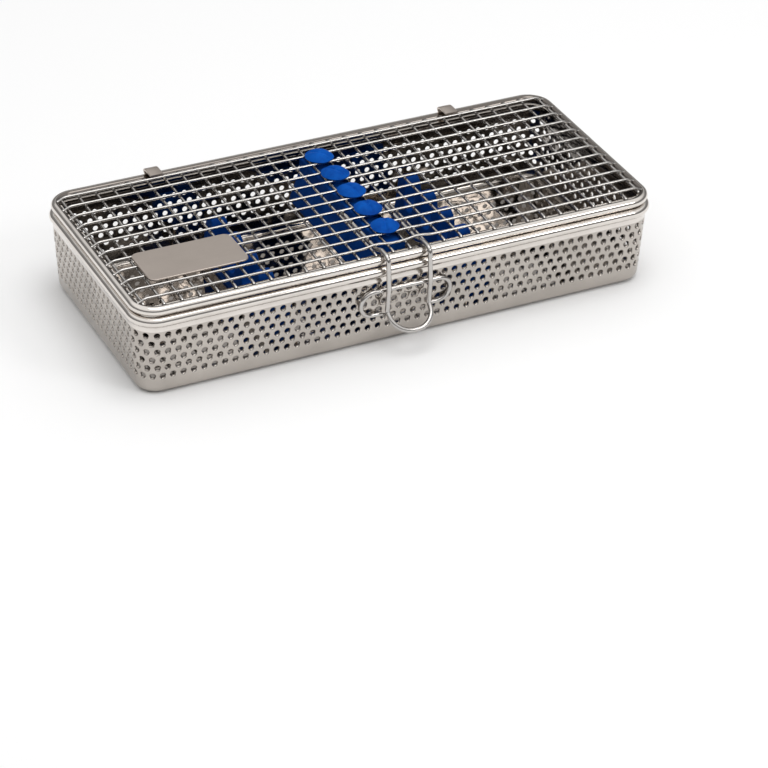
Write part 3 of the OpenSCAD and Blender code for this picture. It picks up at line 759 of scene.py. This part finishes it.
def catch_surface():
    """The catch's open loop: bar, two half-round ends, and two ends welded to the wall."""
    x, weld_x = catch_high[0] - CATCH, 8 * MM
    bar_z, end_z = catch_high[2] - CATCH, catch_low[2] + CATCH
    bar_y, end_y = catch_low[1] + CATCH, catch_high[1] - CATCH
    corners = [(-weld_x, end_y, end_z), (-x, end_y, end_z), (-x, bar_y, bar_z),
               (x, bar_y, bar_z), (x, end_y, end_z), (weld_x, end_y, end_z)]
    bend = (bar_z - end_z) / 2 - 0.05 * MM
    return twistless_tube(rounded(corners, [bend] * 4, 12), CATCH, 16, (0, 0, 1))


build_piece("catch_loop", [catch_surface()], "base", WIRE_STEEL,
            ["catch_wire"], sharp=50)

# %% [markdown]
# ## Silicone
# Moulded silicone has no sharp edge. The racks are combs with round tips, the hold-down is a
# bar with a flared skirt, and five flat domes button it to the mesh. Each is a section that
# changes along the piece, or a profile turned about an axis.


# %% Racks
def rack_surface(node):
    """A comb: along Y its height h(y) is a row of round tips and round slots, and each
    section is the taper from the foot up to h, with its upper edges rounded."""
    low, high = (np.array(c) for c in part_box(node))
    teeth, tooth, pitch, depth = 5, 5.4 * MM, 12.4 * MM, 10 * MM
    foot_w, top_w, foot_h = high[0] - low[0], 5.2 * MM, 2.6 * MM
    full = high[2] - low[2]
    middle = (low[0] + high[0]) / 2
    gap = pitch - tooth
    half_turn = np.radians(np.linspace(-90, 90, 13))
    tip = np.stack([np.sin(half_turn) * tooth / 2, full - (1 - np.cos(half_turn)) * tooth / 2])
    slot = np.stack([pitch / 2 + np.sin(half_turn) * gap / 2,
                     full - depth + (1 - np.cos(half_turn)) * gap / 2])
    waves = np.tile(np.concatenate([tip, slot], axis=1), teeth)[:, :-len(half_turn)]
    step = np.repeat(np.arange(teeth) - teeth // 2, 2 * len(half_turn))[:-len(half_turn)]
    y, h = waves[0] + step * pitch, waves[1]
    y = np.concatenate([y[:1], y, y[-1:]])
    h = np.concatenate([[0.3 * MM], h, [0.3 * MM]])
    lean = (foot_w - top_w) / 2 / (full - foot_h)
    half_top = foot_w / 2 - np.maximum(h - foot_h, 0) * lean
    edge = 0.7 * MM
    a = np.radians(np.linspace(0, 90, 5))
    side = -foot_w / 2 + 0 * h
    left = [np.stack([side, 0 * h], 1), np.stack([side, np.minimum(h, foot_h)], 1)]
    for inset, drop in zip(edge * (1 - np.cos(a)), edge * (1 - np.sin(a))):
        left.append(np.stack([inset - half_top, h - drop * (h > 2 * edge)], 1))
    right = [p * (-1, 1) for p in left[::-1]]
    section = np.stack(left + right, axis=1)
    points = np.concatenate([section[:, :, :1] + middle,
                             np.broadcast_to(y[:, None, None], section[:, :, :1].shape),
                             section[:, :, 1:] + low[2]], axis=2)
    return points, capped_grid(len(y), points.shape[1])


for hand in ("left", "right"):
    build_piece(f"{hand}_silicone_rack", [rack_surface(f"{hand}_rack")], "base",
                SHADED_BLUE_SILICONE, [f"{hand}_rack"], sharp=40)


# %% Hold-down bar
def bar_surface():
    """The bar's neck and flared skirt in section, drawn in at both ends to round them."""
    low, high = (np.array(c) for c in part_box("hold_down_bar"))
    foot_w, top_w, neck = high[0] - low[0], 8.4 * MM, 5.4 * MM
    full = high[2] - low[2]
    r = 0.6 * MM  # the round at the bar's upper edges and under its skirt
    half = np.concatenate([
        [(foot_w / 2 - r, 0)], arc((foot_w / 2 - r, r), r, -60, 0, 3),
        [(foot_w / 2 - 0.2 * MM, 1.6 * MM), (top_w / 2 + 0.5 * MM, full - neck - 1 * MM),
         (top_w / 2 + 0.1 * MM, full - neck), (top_w / 2, full - neck + 0.8 * MM)],
        arc((top_w / 2 - r, full - r), r, 0, 90, 4)])
    section = np.concatenate([half, half[::-1] * (-1, 1)])
    y = np.array([-1, -0.996, -0.985, -0.9, 0.9, 0.985, 0.996, 1]) * high[1]
    inset = np.array([0.5, 0.15, 0, 0, 0, 0, 0.15, 0.5]) * MM
    x = section[None, :, 0] - np.sign(section[None, :, 0]) * inset[:, None]
    z = low[2] + np.clip(section[None, :, 1], inset[:, None], full - inset[:, None])
    points = np.stack([x, np.broadcast_to(y[:, None], x.shape), z], axis=2)
    return points, capped_grid(len(y), len(section))


build_piece("silicone_hold_down", [bar_surface()], "lid", SHADED_BLUE_SILICONE,
            ["hold_down_bar"], sharp=40)


# %% Knobs
knob_low, knob_high = (np.array(c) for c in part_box("hold_down_knobs"))
KNOB_R = (knob_high[0] - knob_low[0]) / 2
KNOB_HEAD = 2.4 * MM
CREASE_DEPTH, CREASE_WIDTH = 0.8 * MM, 0.6 * MM


def knob_surface(y, turn):
    """A flat dome on a stem, turned about Z, its outline two low waves off a circle. A
    crease crosses the dome: its depth is a bell curve of the distance from a line."""
    top, stem = knob_high[2], 2.1 * MM
    rim = top - KNOB_HEAD
    rise = np.radians(np.linspace(0, 90, 9))
    dome = np.stack([KNOB_R * np.cos(rise), top - KNOB_HEAD * 0.8 * np.cos(rise) ** 2.4], 1)
    dome[-1, 0] = 0
    under = np.array([(0, knob_low[2]), (stem, knob_low[2]), (stem, rim),
                      (KNOB_R * 0.86, rim), (KNOB_R * 0.97, rim + 0.15 * MM)])
    profile = np.concatenate([under, dome])
    a = np.arange(40) * 2 * pi / 40
    outline = 0.985 + 0.02 * np.cos(2 * (a - turn)) + 0.012 * np.cos(5 * a + turn)
    r = profile[:, :1] * outline[None]
    x, dy = r * np.cos(a), r * np.sin(a)
    across = np.abs(x * sin(turn) - dy * cos(turn))
    crease = CREASE_DEPTH * np.exp(-(across / CREASE_WIDTH) ** 2)
    crease = crease * (profile[:, 1:] > rim + 0.8 * MM)
    points = np.stack([x, y + dy, np.broadcast_to(profile[:, 1:], x.shape) - crease], axis=2)
    return points, grid_faces(len(profile), len(a), False, True)


knob_y = np.linspace(-1, 1, 5) * (knob_high[1] - KNOB_R)
build_piece("silicone_knobs", [knob_surface(y, 1.2 + 0.3 * k) for k, y in enumerate(knob_y)],
            "lid", KNOB_SILICONE, ["hold_down_knobs"], sharp=60)

# %% [markdown]
# ## Label plate
# A bare plate of brushed steel is tacked on top of the mesh. Its rounded outline is swept
# inwards over a small bevel, then closed with a flat face.


# %% Plate
def plate_surface():
    """A rounded rectangle at three heights, drawn in a little at the top for the bevel."""
    low, high = (np.array(c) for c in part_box("label_plate"))
    centre, half = (low + high) / 2, (high - low) / 2
    signs, normal = four_corners(8, 90)
    corner, under, bevel = 2.5 * MM, 0.1 * MM, 0.15 * MM
    rings = []
    for inset, z in ((under, low[2]), (0, low[2] + under), (0, high[2] - bevel), (bevel, high[2])):
        flat = centre[:2] + signs * (half[:2] - corner) + (corner - inset) * normal
        rings.append(np.concatenate([flat, np.full((len(flat), 1), z)], axis=1))
    return np.stack(rings), capped_grid(len(rings), len(normal))


build_piece("blank_plate", [plate_surface()], "lid", LABEL_STEEL,
            ["label_plate"], sharp=30)

# %% [markdown]
# ## Hinge straps
# A strap is cut from duller sheet, and its edges are soft. Its path starts on the last long
# wire, bends down behind the rims and curls round the pin. A rounded section follows it.


# %% Straps
def strap_surface(node):
    """Rings of a rounded rectangle along the strap's middle line: a straight, a quarter
    bend, a straight and most of a circle round the pin. The sides draw in at the bend."""
    low, high = (np.array(c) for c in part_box(node))
    pin_y, pin_z = next(j for j in frame["joints"] if j["name"] == "lid_hinge")["pos_m"][1:]
    half_t, edge, curl, bend = SHEET / 2, 0.3 * MM, 1.5 * MM, 3.7 * MM
    narrow, draw_run, slack = 1.3 * MM, 2.2 * MM, 0.2 * MM
    front, face, top = low[1] + 0.9 * MM, pin_y - curl, high[2] - half_t
    along_y = front + (face - bend - front) * np.linspace(0, 1, 9) ** 2
    flat = np.stack([along_y, np.full(9, top)], 1)
    down = np.stack([np.full(5, face), np.linspace(top - bend, pin_z, 5)], 1)
    path = np.concatenate([flat, arc((face - bend, top - bend), bend, 90, 0, 12)[1:], down[1:],
                           arc((pin_y, pin_z), curl, 180, 470, 20)[1:]])
    along = np.gradient(path, axis=0)
    along /= np.linalg.norm(along, axis=1, keepdims=True)
    out = np.stack([-along[:, 1], along[:, 0]], axis=1)
    drawn = np.clip((path[:, :1] - (face - draw_run)) / draw_run, 0, 1)
    half = (high[0] - low[0]) / 2 - narrow * (1 - np.sqrt(1 - drawn ** 2)) - slack
    signs, normal = four_corners(3, 90)
    across = signs[:, 0] * (half - edge) + edge * normal[:, 0]
    lift = signs[:, 1] * (half_t - edge) + edge * normal[:, 1]
    yz = path[:, None, :] + lift[None, :, None] * out[:, None, :]
    points = np.concatenate([(across + (low[0] + high[0]) / 2)[:, :, None], yz], axis=2)
    return points, capped_grid(len(path), len(normal))


for hand in ("left", "right"):
    build_piece(f"{hand}_strap", [strap_surface(f"{hand}_hinge_strap")], "lid",
                LABEL_STEEL, [f"{hand}_hinge_strap"], sharp=50)

# %% [markdown]
# ## The rest of the steel
# The floor, the brackets, the pins and the rack rails are shown as the imported model has them.
# They only need their finish.

# %% Finishes of the imported nodes
# The tray floor gets the darker floor steel, whose colour is painted shade.
for name, material in {"tray_floor": SHADED_FLOOR_STEEL, "left_rack_rail": SHEET_STEEL,
                       "right_rack_rail": SHEET_STEEL, "left_hinge_bracket": SHEET_STEEL,
                       "right_hinge_bracket": SHEET_STEEL, "left_hinge_pin": WIRE_STEEL,
                       "right_hinge_pin": WIRE_STEEL}.items():
    node = frame["nodes"][name]
    for index in range(len(node.material_slots)):
        node.material_slots[index].material = material

# %% [markdown]
# ## Camera, floor and light
# The camera stands where the photograph's did, which was worked out from the holes and the
# wire ends. The floor is pale. The world is dark low down and bright above, so that polished
# steel mirrors both. A soft lamp overhead lights the silicone and the rims, and a smaller one
# at the front right is mirrored by the floor and the back wall between the wires.

# %% Camera
AZIMUTH, ELEVATION, ROLL_ANGLE = radians(26.53), radians(32.81), radians(1.43)
CAMERA_PLACE = (-0.39543, -0.81907, 0.54607)
FOCAL_PIXELS, PICTURE_PIXELS, SENSOR = 3234, 768, 36
camera_data = bpy.data.cameras.new("camera")
camera_data.sensor_width = SENSOR
camera_data.lens = FOCAL_PIXELS / PICTURE_PIXELS * SENSOR
camera = bpy.data.objects.new("camera", camera_data)
bpy.context.scene.collection.objects.link(camera)
bpy.context.scene.camera = camera
look = Vector((sin(AZIMUTH) * cos(ELEVATION), cos(AZIMUTH) * cos(ELEVATION), -sin(ELEVATION)))
level = Vector((cos(AZIMUTH), -sin(AZIMUTH), 0))
upright = level.cross(look)
right = level * cos(ROLL_ANGLE) + upright * sin(ROLL_ANGLE)
turned = Matrix((right, right.cross(look), -look)).transposed().to_4x4()
camera.matrix_world = Matrix.Translation(CAMERA_PLACE) @ turned
print("camera up:", tuple(round(v, 3) for v in right.cross(look)))


# %% Floor and world
def pale_surface(name, colour):
    """A matt pale material for the floor."""
    material = bpy.data.materials.new(name)
    material.use_nodes = True
    shader = material.node_tree.nodes["Principled BSDF"]
    shader.inputs["Base Color"].default_value = (*colour, 1)
    shader.inputs["Roughness"].default_value = 0.9
    shader.inputs["Specular IOR Level"].default_value = 0.1
    return material


floor_mesh = bpy.data.meshes.new("studio_floor")
floor_mesh.from_pydata([(-3, -3, 0), (3, -3, 0), (3, 3, 0), (-3, 3, 0)], [], [(0, 1, 2, 3)])
floor_mesh.materials.append(pale_surface("studio_floor", (0.97, 0.97, 0.97)))
floor = bpy.data.objects.new("studio_floor", floor_mesh)
bpy.context.scene.collection.objects.link(floor)

# Grey levels of the world by height: the ramp's own ends, and the stops between them
SKY_ENDS = (0.18, 1.0)
SKY_STOPS = ((0.2, 0.22), (0.42, 0.27), (0.475, 0.30), (0.51, 0.62), (0.60, 0.8), (0.70, 1.0))
world = bpy.data.worlds.new("studio")
bpy.context.scene.world = world
world.use_nodes = True
sky = world.node_tree
direction = sky.nodes.new("ShaderNodeTexCoord").outputs["Generated"]
apart = sky.nodes.new("ShaderNodeSeparateXYZ")
sky.links.new(direction, apart.inputs[0])
rise = sky.nodes.new("ShaderNodeValToRGB")
for place, grey in SKY_STOPS:
    stop = rise.color_ramp.elements.new(place)
    stop.color = (grey, grey, grey, 1)
for end, grey in zip((0, -1), SKY_ENDS):
    rise.color_ramp.elements[end].color = (grey, grey, grey, 1)
sky.links.new(apart.outputs["Z"], rise.inputs["Fac"])
sky.links.new(rise.outputs["Color"], sky.nodes["Background"].inputs["Color"])
sky.nodes["Background"].inputs["Strength"].default_value = 1.0


# %% Lamps
def soft_lamp(name, place, target, size, watts):
    """A square area lamp at a place, turned to a target."""
    data = bpy.data.lights.new(name, "AREA")
    data.size = size
    data.energy = watts
    lamp = bpy.data.objects.new(name, data)
    bpy.context.scene.collection.objects.link(lamp)
    aim = (Vector(target) - Vector(place)).to_track_quat("-Z", "Y")
    lamp.matrix_world = Matrix.Translation(place) @ aim.to_matrix().to_4x4()
    return lamp


soft_lamp("key", (0.06, -0.1, 0.9), (0, 0, 0), 0.5, 2.0)
soft_lamp("fill", (0.52, -0.78, 0.72), (0, 0, 0), 0.28, 1.5)

bpy.context.scene.view_settings.view_transform = "Standard"
